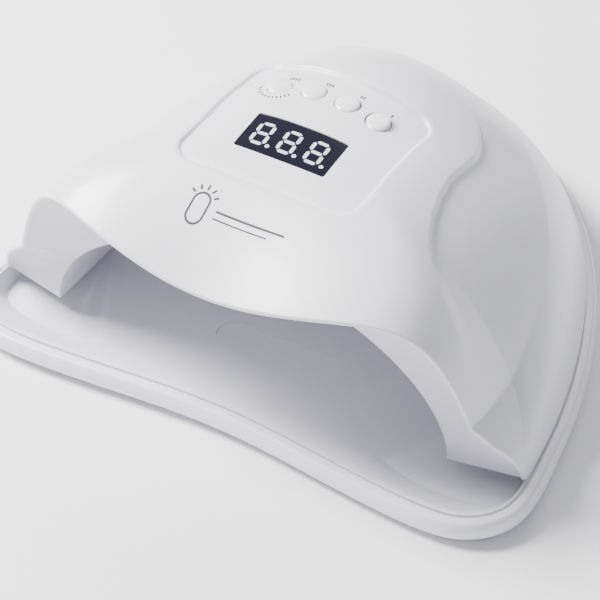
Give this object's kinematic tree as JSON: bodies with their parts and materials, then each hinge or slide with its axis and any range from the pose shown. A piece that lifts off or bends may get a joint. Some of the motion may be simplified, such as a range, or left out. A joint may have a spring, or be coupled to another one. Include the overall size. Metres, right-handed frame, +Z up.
{
  "type": "uv curing lamp",
  "caption": "White domed desktop curing lamp with a hand tunnel, a top display with round keys, and a removable shallow base tray.",
  "frame": {"origin": "centre of the bounding box at table level", "axes": "+Z up from the table, -Y out of the hand opening, +X to the right of a user facing the opening"},
  "size_m": [0.2272, 0.206, 0.0968],
  "materials": {
    "white_abs": "satin",
    "liner_white": "matte",
    "key_white": "gloss",
    "smoked_window": "gloss",
    "lit_figures": "gloss",
    "module_black": "matte",
    "board_green": "matte",
    "strip_aluminium": "satin",
    "package_white": "gloss",
    "lens_clear": "gloss",
    "screw_steel": "satin",
    "magnet_nickel": "gloss",
    "pad_rubber": "matte",
    "contact_brass": "satin",
    "sensor_black": "gloss"
  },
  "bodies": {
    "tray_body": {"tray": "white_abs", "tray_magnets": "magnet_nickel", "tray_pads": "pad_rubber"},
    "lamp_head": {"upper_shell": "white_abs", "inner_liner": "liner_white", "light_packages": "package_white", "light_lenses": "lens_clear", "light_boards": "strip_aluminium", "hand_sensor": "sensor_black", "sensor_board": "board_green", "liner_screws": "screw_steel", "head_magnets": "magnet_nickel", "control_panel": "white_abs", "display_window": "smoked_window", "display_figures": "lit_figures", "control_board": "board_green", "display_module": "module_black", "key_switches": "module_black", "board_screws": "screw_steel", "driver_board": "board_green", "driver_parts": "module_black", "driver_screws": "screw_steel", "power_inlet": "module_black", "inlet_contact": "contact_brass"},
    "key_body_1": {"key_1": "key_white", "key_plunger_1": "module_black"},
    "key_body_2": {"key_2": "key_white", "key_plunger_2": "module_black"},
    "key_body_3": {"key_3": "key_white", "key_plunger_3": "module_black"},
    "key_body_4": {"key_4": "key_white", "key_plunger_4": "module_black"}
  },
  "joints": [
    {"name": "head_lift", "type": "slide", "parent": "tray_body", "child": "lamp_head", "axis": [0, 0, 1], "range_m": [0, 0.08]},
    {"name": "key_1_press", "type": "slide", "parent": "lamp_head", "child": "key_body_1", "axis": [0, 0.0785, -0.9969], "range_m": [0, 0.0006], "stiffness_N_per_m": 1200, "springref_m": -0.0003},
    {"name": "key_2_press", "type": "slide", "parent": "lamp_head", "child": "key_body_2", "axis": [0, 0.0785, -0.9969], "range_m": [0, 0.0006], "stiffness_N_per_m": 1200, "springref_m": -0.0003},
    {"name": "key_3_press", "type": "slide", "parent": "lamp_head", "child": "key_body_3", "axis": [0, 0.0785, -0.9969], "range_m": [0, 0.0006], "stiffness_N_per_m": 1200, "springref_m": -0.0003},
    {"name": "key_4_press", "type": "slide", "parent": "lamp_head", "child": "key_body_4", "axis": [0, 0.0785, -0.9969], "range_m": [0, 0.0006], "stiffness_N_per_m": 1200, "springref_m": -0.0003}
  ]
}
